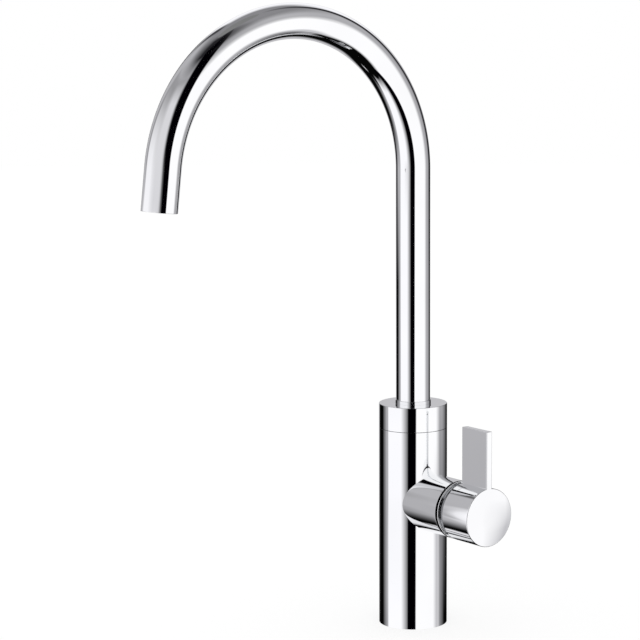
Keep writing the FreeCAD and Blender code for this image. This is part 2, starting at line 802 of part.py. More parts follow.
PIECES = {
    "body_casing": body_casing,
    "top_collar": top_collar,
    "spout_foot_ring": spout_foot_ring,
    "upper_glide_ring": upper_glide_ring,
    "lower_glide_ring": lower_glide_ring,
    "swivel_stop_screw": swivel_stop_screw,
    "filtered_nipple": filtered_nipple,
    "base_insert": base_insert,
    "base_seal": base_seal,
    "hot_feed_tube": lambda: feed_tube("hot"),
    "cold_feed_tube": lambda: feed_tube("cold"),
    "filtered_feed_tube": lambda: feed_tube("filtered"),
    "cartridge_base": cartridge_base,
    "port_seals": port_seals,
    "fixed_ceramic_disc": fixed_ceramic_disc,
    "cartridge_housing": cartridge_housing,
    "cartridge_nut": cartridge_nut,
    "trim_dome": trim_dome,
    "cartridge_carrier": cartridge_carrier,
    "pivot_pin": pivot_pin,
    "moving_ceramic_disc": moving_ceramic_disc,
    "disc_driver": disc_driver,
    "cartridge_stem": cartridge_stem,
    "lever_handle": lever_handle,
    "handle_grub_screw": handle_grub_screw,
    "grub_screw_plug": grub_screw_plug,
    "spout_tube": spout_tube,
    "spout_shank": spout_shank,
    "spout_o_rings": spout_o_rings,
    "inner_tube_coupling": inner_tube_coupling,
    "coupling_o_ring": coupling_o_ring,
    "filtered_water_tube": filtered_water_tube,
    "aerator_housing": aerator_housing,
    "aerator_insert": aerator_insert,
    "aerator_seal": aerator_seal,
    "filtered_nozzle": filtered_nozzle,
}

os.makedirs("parts", exist_ok=True)
for name, make in PIECES.items():
    piece = make()
    if not piece.isValid():
        raise ValueError(name + " is not a valid solid")
    piece.exportStep("parts/" + name + ".step")
    box = piece.BoundBox
    print(f"{name:22s} solids {len(piece.Solids)}  volume {piece.Volume / 1000:8.2f} cm3  "
          f"x {box.XMin:7.2f} {box.XMax:7.2f}  y {box.YMin:8.2f} {box.YMax:7.2f}  "
          f"z {box.ZMin:7.2f} {box.ZMax:7.2f}")
print(f"pivot x {pivot_x:.3f}, handle from {handle_rear:.3f} to {handle_end:.3f}, "
      f"ball arm {ball_arm:.3f}, disc travel {disc_travel:.3f}, dome radius {dome_radius:.3f}")
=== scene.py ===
"""Looks of the three way filtered water tap: polished chrome in a white studio."""
import json
import math

import bpy
import numpy as np
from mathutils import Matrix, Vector


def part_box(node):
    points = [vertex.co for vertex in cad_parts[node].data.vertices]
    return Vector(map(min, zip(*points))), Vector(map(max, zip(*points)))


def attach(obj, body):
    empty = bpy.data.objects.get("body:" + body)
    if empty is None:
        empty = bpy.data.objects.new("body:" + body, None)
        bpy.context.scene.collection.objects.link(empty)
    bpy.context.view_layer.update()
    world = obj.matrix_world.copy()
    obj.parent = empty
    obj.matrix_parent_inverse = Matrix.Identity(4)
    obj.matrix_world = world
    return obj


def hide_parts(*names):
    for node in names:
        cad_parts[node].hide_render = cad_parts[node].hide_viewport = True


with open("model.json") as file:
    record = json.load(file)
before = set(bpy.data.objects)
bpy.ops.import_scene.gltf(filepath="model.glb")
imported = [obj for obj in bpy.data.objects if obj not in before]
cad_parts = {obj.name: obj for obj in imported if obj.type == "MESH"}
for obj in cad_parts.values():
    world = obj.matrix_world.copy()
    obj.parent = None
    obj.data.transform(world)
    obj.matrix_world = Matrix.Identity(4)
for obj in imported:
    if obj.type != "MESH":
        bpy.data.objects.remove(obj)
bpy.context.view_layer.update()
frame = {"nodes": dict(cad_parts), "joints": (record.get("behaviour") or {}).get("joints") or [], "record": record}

MM = 0.001

# ---------------------------------------------------------------- sizes read from the frame
NODES = frame["nodes"]
JOINTS = {joint["name"]: joint for joint in frame["joints"]}
casing_low, casing_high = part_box("body_casing")
collar_low, collar_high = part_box("top_collar")
foot_low, foot_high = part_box("spout_foot_ring")
tube_low, tube_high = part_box("spout_tube")
handle_low, handle_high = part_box("lever_handle")
dome_low, dome_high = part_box("trim_dome")
stop_low, stop_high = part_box("swivel_stop_screw")
plug_low, plug_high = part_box("grub_screw_plug")
cartridge_low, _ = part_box("cartridge_base")
shank_low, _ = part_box("spout_shank")
_, nut_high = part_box("cartridge_nut")
_, insert_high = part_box("base_insert")
_, glide_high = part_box("upper_glide_ring")
_, stem_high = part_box("cartridge_stem")
PIVOT = Vector(JOINTS["lever_turn"]["pos_m"])
LEVER_Z = PIVOT.z

HAIRLINE = 0.2 * MM          # open seam below the collar and the rounding at its edges
EDGE = 0.4 * MM              # rounding of a polished outer edge
BORE_EDGE = 0.15 * MM        # rounding of a bore's mouth
MOUTH_EDGE = 0.2 * MM        # rounding inside the stub's mouth
REAR_EDGE = 0.2 * MM         # rounding at the handle's rear
END_EDGE = 0.7 * MM          # rounding between the handle's side and its end face
END_CROWN = math.radians(8.0)    # lean of the end face at its rim
CLOSE_FIT = 0.05 * MM        # room round a piece that sits closely
LOOSE_FIT = 0.1 * MM         # room round a piece that drops in

BODY_RADIUS = -casing_low.x
STUB_RADIUS = handle_high.y
NECK_WALL = 5 * MM
NECK_RADIUS = glide_high.x + NECK_WALL
STUB_END = casing_high.x
SEAM = collar_low.z - HAIRLINE
TUBE_RADIUS = tube_high.x
TUBE_WALL = 1.2 * MM
ARCH_SWEEP = math.radians(173.5)
ARCH_RADIUS = 108.0 * MM
OUTLET_LEG = 30.0 * MM
ARCH_HEIGHT = tube_high.z - ARCH_RADIUS - TUBE_RADIUS
RISER = ARCH_HEIGHT - tube_low.z

# ---------------------------------------------------------------- the photograph's camera
PHOTO_SIZE = 640
PHOTO_AZIMUTH = math.radians(50.753)
CAMERA_DISTANCE = 1.7479
CAMERA_HEIGHT = 0.4876
CAMERA_PITCH = math.radians(7.362)
FOCAL_PIXELS = 2423.2
AXIS_PIXEL_X = 413.02        # where the body's axis stands in the photograph
LEVEL_PIXEL_Y = 270.0
SENSOR = 36.0


def place_camera():
    """Camera level with the horizon sideways, turned to face the body's axis."""
    camera = bpy.data.objects.new("camera", bpy.data.cameras.new("camera"))
    bpy.context.scene.collection.objects.link(camera)
    camera.data.sensor_width = SENSOR
    camera.data.lens = FOCAL_PIXELS / PHOTO_SIZE * SENSOR
    camera.data.shift_x = (PHOTO_SIZE / 2 - AXIS_PIXEL_X) / PHOTO_SIZE
    camera.data.shift_y = (LEVEL_PIXEL_Y - PHOTO_SIZE / 2) / PHOTO_SIZE
    camera.data.clip_start = 0.05
    camera.data.clip_end = 50.0
    away = Vector((math.sin(PHOTO_AZIMUTH), -math.cos(PHOTO_AZIMUTH), 0.0))
    camera.location = away * CAMERA_DISTANCE + Vector((0, 0, CAMERA_HEIGHT))
    looking = -away * math.cos(CAMERA_PITCH) - Vector((0, 0, math.sin(CAMERA_PITCH)))
    camera.rotation_mode = "QUATERNION"
    camera.rotation_quaternion = looking.to_track_quat("-Z", "Y")
    bpy.context.scene.camera = camera


# ---------------------------------------------------------------- numpy surfaces
FULL_TURN = np.linspace(0.0, 2 * np.pi, 161)[:-1]
FINE_TURN = np.linspace(0.0, 2 * np.pi, 481)[:-1]
QUARTER_TURN = np.linspace(0, np.pi / 2, 6)
ARC_POINTS = 7               # points on a rounded corner
RAY_POINTS = 7               # points from the rim of a window to the grid round it
JOIN_WITHIN = 1e-7           # metres: nearer points become one
TINY = 1e-9                  # metres: a length that counts as none


def grid_quads(rows, columns, close_columns):
    """Corner numbers of the quads of a grid of points, still in rows and columns."""
    index = np.arange(rows * columns).reshape(rows, columns)
    if close_columns:
        index = np.hstack([index, index[:, :1]])
    return np.stack([index[:-1, :-1], index[:-1, 1:], index[1:, 1:], index[1:, :-1]], -1)


class Shell:
    """Collects patches, each a grid or a face with its own exact normals, into one mesh."""

    def __init__(self):
        self.points, self.faces, self.normals = [], [], []
        self.count = 0

    def grid(self, points, normals, close_columns=False):
        """Quads between neighbouring rows and columns of two (rows, columns, 3) arrays."""
        quads = grid_quads(*points.shape[:2], close_columns)
        self.add(points.reshape(-1, 3), quads.reshape(-1, 4), normals.reshape(-1, 3))

    def add(self, points, quads, normals):
        """Quads by corner number; the side that the normals point to becomes the outside."""
        corner = points[quads]
        facing = np.cross(corner[:, 2] - corner[:, 0], corner[:, 3] - corner[:, 1])
        flip = (facing * normals[quads].mean(1)).sum(1) < 0
        quads = np.where(flip[:, None], quads[:, ::-1], quads)
        self.points.append(points)
        self.faces.extend((quads + self.count).tolist())
        self.normals.append(normals[quads].reshape(-1, 3))
        self.count += len(points)

    def cap(self, outline, normal):
        """One flat face inside a closed outline."""
        corners = np.asarray(outline)
        around = np.roll(corners, -1, 0)
        area = np.cross(corners, around).sum(0)
        if area @ np.asarray(normal) < 0:
            corners = corners[::-1]
        self.points.append(corners)
        self.faces.append(list(range(self.count, self.count + len(corners))))
        self.normals.append(np.tile(np.asarray(normal, float), (len(corners), 1)))
        self.count += len(corners)

    def build(self, name):
        """Join points that coincide to a ten-thousandth of a millimetre, drop empty faces."""
        points = np.concatenate(self.points)
        keys = np.round(points / JOIN_WITHIN).astype(np.int64)
        _, first, place = np.unique(keys, axis=0, return_index=True, return_inverse=True)
        place = place.ravel()
        normals = np.concatenate(self.normals)
        faces, kept, start = [], [], 0
        for face in self.faces:
            loops = range(start, start + len(face))
            start += len(face)
            ring, chosen = [], []
            for corner, loop in zip(face, loops):
                vertex = int(place[corner])
                if not ring or (vertex != ring[-1] and vertex != ring[0]):
                    ring.append(vertex)
                    chosen.append(loop)
            if len(ring) > 2:
                faces.append(ring)
                kept.extend(chosen)
        mesh = bpy.data.meshes.new(name)
        mesh.from_pydata(points[first].tolist(), [], faces)
        mesh.polygons.foreach_set("use_smooth", np.ones(len(mesh.polygons), bool))
        exact = normals[kept]
        exact /= np.linalg.norm(exact, axis=1)[:, None]
        mesh.normals_split_custom_set(exact.tolist())
        mesh.update()
        piece = bpy.data.objects.new(name, mesh)
        bpy.context.scene.collection.objects.link(piece)
        return piece


def spokes_at(angles):
    """Unit vectors (cos, sin) at these angles."""
    return np.stack([np.cos(angles), np.sin(angles)], 1)


def places_along(*stretches):
    """Rising places on stretches of (low, high, count), shared ends only once."""
    return np.unique(np.concatenate([np.linspace(*stretch) for stretch in stretches]).round(9))


def rounded_outline(corners, radii, closed=True):
    """Runs of an outline whose corners are arcs: each run is (points, normals to its right).

    corners holds 2-D points, radii one radius for each; a straight run joins the arcs'
    tangent points, and an arc of radius 0 leaves a sharp corner between two runs.
    """
    corners = np.asarray(corners, float)
    runs, starts, ends, arcs = [], [], [], []
    count = len(corners)
    for k in range(count):
        here = corners[k]
        into = here - corners[k - 1]
        out = corners[(k + 1) % count] - here
        into /= np.linalg.norm(into)
        out /= np.linalg.norm(out)
        turn = math.atan2(into[0] * out[1] - into[1] * out[0], into @ out)
        free_end = not closed and k in (0, count - 1)
        radius = 0.0 if free_end else radii[k]
        cut = radius * math.tan(abs(turn) / 2)
        starts.append(here - into * cut)
        ends.append(here + out * cut)
        if radius > 0:
            side = np.array([-into[1], into[0]]) * np.sign(turn)
            centre = starts[-1] + side * radius
            steps = np.linspace(0, turn, ARC_POINTS)
            spoke = -side * radius
            swing = np.stack([spoke[0] * np.cos(steps) - spoke[1] * np.sin(steps),
                              spoke[0] * np.sin(steps) + spoke[1] * np.cos(steps)], 1)
            arcs.append((centre + swing, swing / radius * np.sign(turn)))
        else:
            arcs.append(None)
    for k in range(count if closed else count - 1):
        if arcs[k] is not None:
            runs.append(arcs[k])
        nxt = (k + 1) % count
        straight = np.array([ends[k], starts[nxt]])
        along = straight[1] - straight[0]
        if np.linalg.norm(along) > TINY:
            right = np.array([along[1], -along[0]]) / np.linalg.norm(along)
            runs.append((straight, np.tile(right, (2, 1))))
    return runs


def turn_about(axis, points, normals, angles):
    """Rows of a surface of revolution: (radius, height) points swung round an axis.

    About "z" angle 0 is +X; about "lever" height runs along +X from the body's axis
    and angle 0 is +Y.
    """
    cosine, sine = np.cos(angles), np.sin(angles)
    radius, height = points[:, :1], points[:, 1:]
    out, up = normals[:, :1], normals[:, 1:]
    flat = np.ones_like(cosine)[None, :]
    if axis == "z":
        places = (radius * cosine, radius * sine, height * flat)
        facing = (out * cosine, out * sine, up * flat)
    else:
        places = (height * flat, radius * cosine, radius * sine + LEVER_Z)
        facing = (up * flat, out * cosine, out * sine)
    return np.stack(places, -1), np.stack(facing, -1)


def turned(shell, corners, radii, angles=FULL_TURN, closed=True):
    """Surface of revolution about z of an outline in (radius, height), corners rounded.

    Solid material lies to the left of the outline's direction.
    """
    for points, normals in rounded_outline(corners, radii, closed):
        shell.grid(*turn_about("z", points, normals, angles), close_columns=True)


def pierced_sheet(shell, us, vs, place, windows, close_columns=True):
    """Grid place(u, v) with round windows, each filled by rays from its rim to the grid.

    A window is (i0, i1, j0, j1, rim): grid lines of its box, and rim(t), which gives the
    (u, v) of the hole's edge at angle t about the window's middle.  Returns the angles of
    each rim, in the order of its rays.
    """
    u, v = np.meshgrid(us, vs)
    points, normals = place(u, v)
    quads = grid_quads(*u.shape, close_columns)
    keep = np.ones(quads.shape[:2], bool)
    rims = []
    for i0, i1, j0, j1, rim in windows:
        keep[j0:j1, i0:i1] = False
        edge = ([(i, j0) for i in range(i0, i1)] + [(i1, j) for j in range(j0, j1)]
                + [(i, j1) for i in range(i1, i0, -1)] + [(i0, j) for j in range(j1, j0, -1)])
        box = np.array([(us[i], vs[j]) for i, j in edge])
        middle = np.array([(us[i0] + us[i1]) / 2, (vs[j0] + vs[j1]) / 2])
        half = np.array([(us[i1] - us[i0]) / 2, (vs[j1] - vs[j0]) / 2])
        angles = np.arctan2((box[:, 1] - middle[1]) / half[1], (box[:, 0] - middle[0]) / half[0])
        hole = np.stack(rim(angles), 1)
        share = np.linspace(0, 1, RAY_POINTS)[:, None, None]
        rays = hole[None] * (1 - share) + box[None] * share
        shell.grid(*place(rays[..., 0], rays[..., 1]), close_columns=True)
        rims.append(angles)
    shell.add(points.reshape(-1, 3), quads[keep].reshape(-1, 4), normals.reshape(-1, 3))
    return rims


def onto_axis(shell, axis, radius, height, facing, angles):
    """Flat disc that closes a bore, square to its axis."""
    outline, _ = turn_about(axis, np.array([[radius, height]]), np.zeros((1, 2)), angles)
    shell.cap(outline[0], (0, 0, facing) if axis == "z" else (facing, 0, 0))


# ---------------------------------------------------------------- chrome pieces
def round_body():
    """Body casing: a cylinder and a stub that cross in a saddle curve.

    The body wall is the sheet (R cos u, R sin u, v).  The stub enters it where
    y = r cos t, z = r sin t lies on that wall, so u = asin(r cos t / R).
    """
    shell = Shell()
    wall_low, wall_high = 0.0, SEAM - HAIRLINE
    screw_radius = (stop_high.x - stop_low.x) / 2
    screw_height = (stop_high.z + stop_low.z) / 2

    def wall(u, v):
        flat = np.zeros_like(u)
        spoke = np.stack([np.cos(u), np.sin(u), flat], -1)
        lift = np.stack([flat, flat, v], -1)
        return spoke * BODY_RADIUS + lift, spoke

    def stub_rim(t):
        side = STUB_RADIUS * np.cos(t)
        return np.arcsin(side / BODY_RADIUS), LEVER_Z + STUB_RADIUS * np.sin(t)

    def screw_rim(t):
        side = screw_radius * np.cos(t)
        return np.pi / 2 + np.arcsin(side / BODY_RADIUS), screw_height + screw_radius * np.sin(t)

    # the wall's grid, and its two windows: degrees round the body, heights up it
    column_step = 2.0
    stub_left, stub_right = -68, 68
    screw_left, screw_right = 82, 98
    stub_half, screw_half = STUB_RADIUS + 5 * MM, 3.5 * MM
    stub_low, stub_high = LEVER_Z - stub_half, LEVER_Z + stub_half
    screw_low, screw_high = screw_height - screw_half, screw_height + screw_half
    around = np.radians(np.arange(-180.0, 180.0, column_step))
    heights = places_along((wall_low, stub_low, 10), (stub_low, stub_high, 41),
                           (stub_high, screw_low, 6), (screw_low, screw_high, 9),
                           (screw_high, wall_high, 3))

    def column(degrees):
        return int(round((degrees + 180.0) / column_step))

    def row(height):
        return int(np.argmin(np.abs(heights - height)))

    windows = [
        (column(stub_left), column(stub_right), row(stub_low), row(stub_high), stub_rim),
        (column(screw_left), column(screw_right), row(screw_low), row(screw_high), screw_rim),
    ]
    stub_angles, screw_angles = pierced_sheet(shell, around, heights, wall, windows)

    # stub: rays run from the saddle out to the rounded end, then in over the seat of the dome
    side, rise = np.cos(stub_angles), np.sin(stub_angles)
    saddle = np.sqrt(BODY_RADIUS ** 2 - (STUB_RADIUS * side) ** 2)
    share = np.linspace(0, 1, 9)[:, None]
    reach = saddle * (1 - share) + (STUB_END - EDGE) * share
    spokes = np.broadcast_to(np.stack([0 * side, side, rise], -1), reach.shape + (3,))
    centres = np.stack([reach, 0 * reach, 0 * reach + LEVER_Z], -1)
    shell.grid(centres + spokes * STUB_RADIUS, spokes, close_columns=True)
    cartridge_seat = 3.0 * MM
    mouth = dome_high.y + CLOSE_FIT
    pocket = nut_high.y + LOOSE_FIT
    pocket_floor = cartridge_low.x + cartridge_seat
    stub_outline = [(STUB_RADIUS, STUB_END - EDGE), (STUB_RADIUS, STUB_END), (mouth, STUB_END),
                    (mouth, dome_low.x), (pocket, dome_low.x), (pocket, pocket_floor)]
    # the outline has its solid on the right, so its arcs are made in a mirror
    mirror = np.array([1, -1])
    for points, normals in rounded_outline(np.array(stub_outline) * mirror,
                                           [0, EDGE, MOUTH_EDGE, 0, MOUTH_EDGE, 0], closed=False):
        shell.grid(*turn_about("lever", points * mirror, normals * mirror, stub_angles),
                   close_columns=True)
    onto_axis(shell, "lever", pocket, pocket_floor, 1.0, stub_angles)

    # top: rounded seam edge, neck and spout socket; base: ring face and cavity
    neck_height, shank_room = 10 * MM, 1.8 * MM
    neck_top = SEAM + neck_height
    socket = glide_high.x
    socket_floor = shank_low.z - shank_room
    turned(shell, [(BODY_RADIUS, wall_high), (BODY_RADIUS, SEAM), (NECK_RADIUS, SEAM),
                   (NECK_RADIUS, neck_top), (socket, neck_top), (socket, socket_floor)],
           [0, HAIRLINE, 0, EDGE, EDGE, 0], angles=around, closed=False)
    onto_axis(shell, "z", socket, socket_floor, 1.0, around)
    roof_below_lever = 31 * MM
    cavity = insert_high.x + LOOSE_FIT
    cavity_roof = LEVER_Z - roof_below_lever
    turned(shell, [(cavity, cavity_roof), (cavity, 0.0), (BODY_RADIUS, 0.0)],
           [0, 0, 0], angles=around, closed=False)
    onto_axis(shell, "z", cavity, cavity_roof, -1.0, around)

    # bore of the stop screw
    bore_floor = socket + 0.5 * MM
    side, rise = np.cos(screw_angles), np.sin(screw_angles)
    mouth_y = np.sqrt(BODY_RADIUS ** 2 - (screw_radius * side) ** 2)
    bore_x, bore_z = -screw_radius * side, screw_height + screw_radius * rise
    bore = np.stack([np.stack([bore_x, mouth_y, bore_z], -1),
                     np.stack([bore_x, 0 * side + bore_floor, bore_z], -1)])
    inward = np.stack([side, 0 * side, -rise], -1)
    shell.grid(bore, np.stack([inward, inward]), close_columns=True)
    shell.cap(bore[1], (0, 1, 0))
    return shell.build("polished_body")


def collar():
    """Cap ring over the neck, its edges just broken by the polisher."""
    shell = Shell()
    bore = foot_high.x
    recess = NECK_RADIUS + LOOSE_FIT
    tube_room = 0.3 * MM
    ledge = tube_low.z + tube_room
    turned(shell, [(BODY_RADIUS, collar_low.z), (BODY_RADIUS, collar_high.z),
                   (bore, collar_high.z), (bore, ledge), (recess, ledge),
                   (recess, collar_low.z)],
           [HAIRLINE, EDGE, BORE_EDGE, 0, 0, 0])
    return shell.build("polished_collar")


def foot_ring():
    """Bush round the foot of the tube, with a rolled top edge."""
    shell = Shell()
    inner, outer = TUBE_RADIUS + CLOSE_FIT, foot_high.x
    roll = 0.25 * MM
    turned(shell, [(outer, foot_low.z), (outer, foot_high.z), (inner, foot_high.z),
                   (inner, foot_low.z)], [0, roll, BORE_EDGE, 0])
    return shell.build("rolled_foot_ring")


def spine(lengths):
    """Centre line of the spout at these lengths from its foot: straight, arc, straight."""
    angle = np.clip((lengths - RISER) / ARCH_RADIUS, 0, ARCH_SWEEP)
    climb = np.minimum(lengths, RISER)
    leg = np.maximum(lengths - RISER - ARCH_RADIUS * ARCH_SWEEP, 0)
    along = np.stack([0 * lengths, -np.sin(angle), np.cos(angle)], -1)
    across = np.stack([0 * lengths, np.cos(angle), np.sin(angle)], -1)
    centre = along * leg[:, None] + np.stack([
        0 * lengths,
        ARCH_RADIUS * (np.cos(angle) - 1),
        tube_low.z + climb + ARCH_RADIUS * np.sin(angle),
    ], -1)
    return centre, along, across


def swan_neck():
    """Circle carried along the spine: centre + r (cos t X + sin t across)."""
    shell = Shell()
    bend_end = RISER + ARCH_RADIUS * ARCH_SWEEP
    total = bend_end + OUTLET_LEG
    lip = 0.3 * MM
    bore = TUBE_RADIUS - TUBE_WALL
    stations = np.concatenate([np.linspace(0, RISER, 12)[:-1], np.linspace(RISER, bend_end, 190),
                               np.linspace(bend_end, total, 6)[1:]])

    def skin(distances, radii, outs, alongs):
        centre, along, across = spine(distances)
        spoke = (np.cos(FULL_TURN)[None, :, None] * np.array([1.0, 0, 0])
                 + np.sin(FULL_TURN)[None, :, None] * across[:, None, :])
        points = centre[:, None, :] + spoke * radii[:, None, None]
        normals = spoke * outs[:, None, None] + along[:, None, :] * alongs[:, None, None]
        shell.grid(points, normals, close_columns=True)

    ones = np.ones_like(stations)
    outer = stations.copy()
    outer[-1] = total - lip
    skin(outer, ones * TUBE_RADIUS, ones, 0 * ones)
    skin(outer, ones * bore, -ones, 0 * ones)
    # rounded lip at the outlet, its flat rim, and the foot's flat end
    cosine, sine = np.cos(QUARTER_TURN), np.sin(QUARTER_TURN)
    around_lip = total - lip + lip * sine
    skin(around_lip, TUBE_RADIUS - lip + lip * cosine, cosine, sine)
    skin(around_lip, bore + lip - lip * cosine, -cosine, sine)
    two = np.ones(2)
    skin(total * two, np.array([TUBE_RADIUS - lip, bore + lip]), 0 * two, two)
    skin(0 * two, np.array([TUBE_RADIUS, bore]), 0 * two, -two)
    return shell.build("swan_neck_tube")


def handle():
    """Cup and blade in one: an outline of circle and upright tab, carried along +X.

    The outline keeps the same points while it shrinks by d at the rounded end edge:
    circle r - d, tab half width w - d, top h - d.
    """
    shell = Shell()
    radius = STUB_RADIUS
    half_width = 2.5 * MM
    wall, plug_depth, stem_depth = 2.0 * MM, 6 * MM, 10.0 * MM
    corner = 0.4 * MM
    top = handle_high.z - LEVER_Z
    skirt = radius - wall
    x_rear, x_end = handle_low.x, handle_high.x
    x_floor = stem_high.x - stem_depth

    def tab(d):
        """Blade part of the outline, from the +Y foot over the top to the -Y foot."""
        w, h, r = half_width - d, top - d, radius - d
        foot = math.sqrt(r * r - w * w)
        arc = max(corner - d, TINY)
        rise = np.linspace(foot, h - arc, 14)
        side = np.stack([0 * rise + w, rise], 1)
        bend = spokes_at(QUARTER_TURN)
        half = [(side, np.tile([1.0, 0.0], (len(side), 1))),
                (np.array([w - arc, h - arc]) + arc * bend, bend)]
        crown = np.array([[w - arc, h], [arc - w, h]])
        other = [(p[::-1] * [-1, 1], n[::-1] * [-1, 1]) for p, n in half[::-1]]
        return half + [(crown, np.tile([0.0, 1.0], (2, 1)))] + other

    def bowl_angles(d):
        """Angles of the circle part, from the -Y foot of the tab round below to the +Y foot."""
        w, r = half_width - d, radius - d
        gap = math.asin(w / r)
        return np.linspace(np.pi / 2 + gap, 2.5 * np.pi - gap, 181)

    def at_depth(points2, x):
        """Outline points, (y, height above the lever's axis), placed at depth x."""
        return np.stack([np.full(len(points2), x), points2[:, 0], points2[:, 1] + LEVER_Z], -1)

    def lay(points2, normals2, x, lean):
        """Row of outline points at depth x; lean tips the normals towards the end face."""
        tips = np.stack([np.full(len(points2), math.sin(lean)), normals2[:, 0] * math.cos(lean),
                         normals2[:, 1] * math.cos(lean)], -1)
        return at_depth(points2, x), tips

    def weave(rows):
        """Patch over rows laid one behind the other."""
        shell.grid(np.stack([points for points, _ in rows]), np.stack([tips for _, tips in rows]))

    # (depth, shrink, lean) stations: rear edge, straight, rounded end edge
    front = [(x_end - END_EDGE + END_EDGE * math.sin(a), END_EDGE * (1 - math.cos(a)), a)
             for a in QUARTER_TURN]
    rear = [(x_rear + REAR_EDGE + REAR_EDGE * math.sin(a), REAR_EDGE * (1 - math.cos(a)), a)
            for a in -QUARTER_TURN[::-1]]
    for part in range(5):
        weave([lay(*tab(d)[part], x, a) for x, d, a in rear + front])

    # circle part: the straight stretch is pierced for the plug, the edges are plain rows
    def bowl_row(x, d, a):
        spoke = spokes_at(bowl_angles(d))
        return lay(spoke * (radius - d), spoke, x, a)

    for group in (rear, front):
        weave([bowl_row(*station) for station in group])
    plug_x = (plug_low.x + plug_high.x) / 2
    plug_radius = (plug_high.x - plug_low.x) / 2
    plug_half = plug_radius + 1.2 * MM
    plug_rear, plug_front = plug_x - plug_half, plug_x + plug_half
    around = bowl_angles(0.0)
    depths = places_along((rear[-1][0], plug_rear, 5), (plug_rear, plug_front, 9),
                          (plug_front, front[0][0], 3))

    def bowl(u, v):
        spoke = np.stack([0 * u, np.cos(u), np.sin(u)], -1)
        return spoke * radius + np.stack([v, 0 * u, 0 * u + LEVER_Z], -1), spoke

    def plug_rim(t):
        return 1.5 * np.pi + np.arcsin(plug_radius * np.cos(t) / radius), (
            plug_x + plug_radius * np.sin(t))

    middle = int(np.argmin(np.abs(around - 1.5 * np.pi)))
    wide = int(math.ceil(plug_half / radius / (around[1] - around[0])))
    windows = [(middle - wide, middle + wide, int(np.argmin(np.abs(depths - plug_rear))),
                int(np.argmin(np.abs(depths - plug_front))), plug_rim)]
    rim_angles, = pierced_sheet(shell, around, depths, bowl, windows, close_columns=False)
    across, along = plug_radius * np.cos(rim_angles), plug_radius * np.sin(rim_angles)
    drop = np.sqrt(radius ** 2 - across ** 2)
    deep = radius - plug_depth
    bore = np.stack([np.stack([plug_x + along, across, LEVER_Z - drop], -1),
                     np.stack([plug_x + along, across, 0 * across + LEVER_Z - deep], -1)])
    inward = np.stack([-np.sin(rim_angles), -np.cos(rim_angles), 0 * across], -1)
    shell.grid(bore, np.stack([inward, inward]), close_columns=True)
    shell.cap(bore[1], (0, 0, -1))

    def tab_line(d):
        """The tab's runs as one line of points, shared ends only once."""
        parts = [points for points, _ in tab(d)]
        return np.concatenate([points[:-1] for points in parts] + [parts[-1][-1:]])

    # the end is crowned: its normals lean outwards with the square of the way to the rim
    around = bowl_angles(END_EDGE)
    under_tab = np.linspace(around[-1], around[0] + 2 * np.pi, 9)[1:-1]
    around = np.concatenate([around, under_tab])
    share = np.linspace(0, 1, 13)[:, None]
    lean = END_CROWN * share ** 2 + 0 * around
    reach = (radius - END_EDGE) * share
    crowned = np.stack([x_end + 0 * lean, reach * np.cos(around),
                        reach * np.sin(around) + LEVER_Z], -1)
    shell.grid(crowned, np.stack([np.cos(lean), np.sin(lean) * np.cos(around),
                                  np.sin(lean) * np.sin(around)], -1), close_columns=True)
    sill = spokes_at(under_tab[::-1]) * (radius - END_EDGE)
    shell.cap(at_depth(np.concatenate([tab_line(END_EDGE), sill]), x_end), (1, 0, 0))

    # rear face between the outline and the cup's mouth, then the cup
    rear_angles = bowl_angles(REAR_EDGE)
    mouth = skirt + REAR_EDGE

    def rear_strip(outer, inner):
        strip = np.stack([at_depth(outer, x_rear), at_depth(inner, x_rear)])
        shell.grid(strip, np.broadcast_to(np.array([-1.0, 0, 0]), strip.shape).copy())

    rear_spokes = spokes_at(rear_angles)
    rear_strip(rear_spokes * (radius - REAR_EDGE), rear_spokes * mouth)
    tab_points = tab_line(REAR_EDGE)
    start = rear_angles[-1] - 2 * np.pi
    sweep = start + (rear_angles[0] - start) * np.linspace(0, 1, len(tab_points))
    rear_strip(tab_points, spokes_at(sweep) * mouth)
    inner_angles = np.concatenate([rear_angles, (sweep + 2 * np.pi)[1:-1]])
    cup = [(mouth, x_rear), (skirt, x_rear + REAR_EDGE), (skirt, x_floor)]
    for (r0, x0), (r1, x1) in zip(cup[:-1], cup[1:]):
        tilt = np.array([x1 - x0, -(r1 - r0)])
        tilt = tilt / np.linalg.norm(tilt)
        points = np.array([[r0, x0], [r1, x1]])
        normals = np.tile([-tilt[0], -abs(tilt[1])], (2, 1))
        shell.grid(*turn_about("lever", points, normals, inner_angles), close_columns=True)
    onto_axis(shell, "lever", skirt, x_floor, -1.0, inner_angles)
    return shell.build("polished_handle")


def dome():
    """Trim dome: a turned ring whose upper part is a sphere about the lever's pivot."""
    shell = Shell()
    wall = 1.2 * MM
    rim = dome_high.y
    tip = dome_high.x - PIVOT.x
    hole = 13.0 * MM
    sphere = math.hypot(tip, hole)
    seat = dome_low.x

    def arc(radius, low, high):
        angles = np.linspace(math.asin(low / radius), math.asin(high / radius), 28)
        spokes = np.stack([np.sin(angles), np.cos(angles)], 1)
        return spokes * radius + [0, PIVOT.x], spokes

    def straight(first, last, facing):
        return np.array([first, last]), np.array([facing, facing])

    outer, outer_facing = arc(sphere, hole, rim)
    inner, inner_facing = arc(sphere - wall, hole, rim - wall)
    runs = [(outer, outer_facing), (inner, -inner_facing),
            straight(outer[-1], [rim, seat], [1.0, 0]),
            straight(inner[-1], [rim - wall, seat], [-1.0, 0]),
            straight([rim, seat], [rim - wall, seat], [0, -1.0]),
            straight(outer[0], inner[0], [-1.0, 0])]
    for points, normals in runs:
        shell.grid(*turn_about("lever", points, normals, FINE_TURN), close_columns=True)
    return shell.build("dome_in_painted_shade")


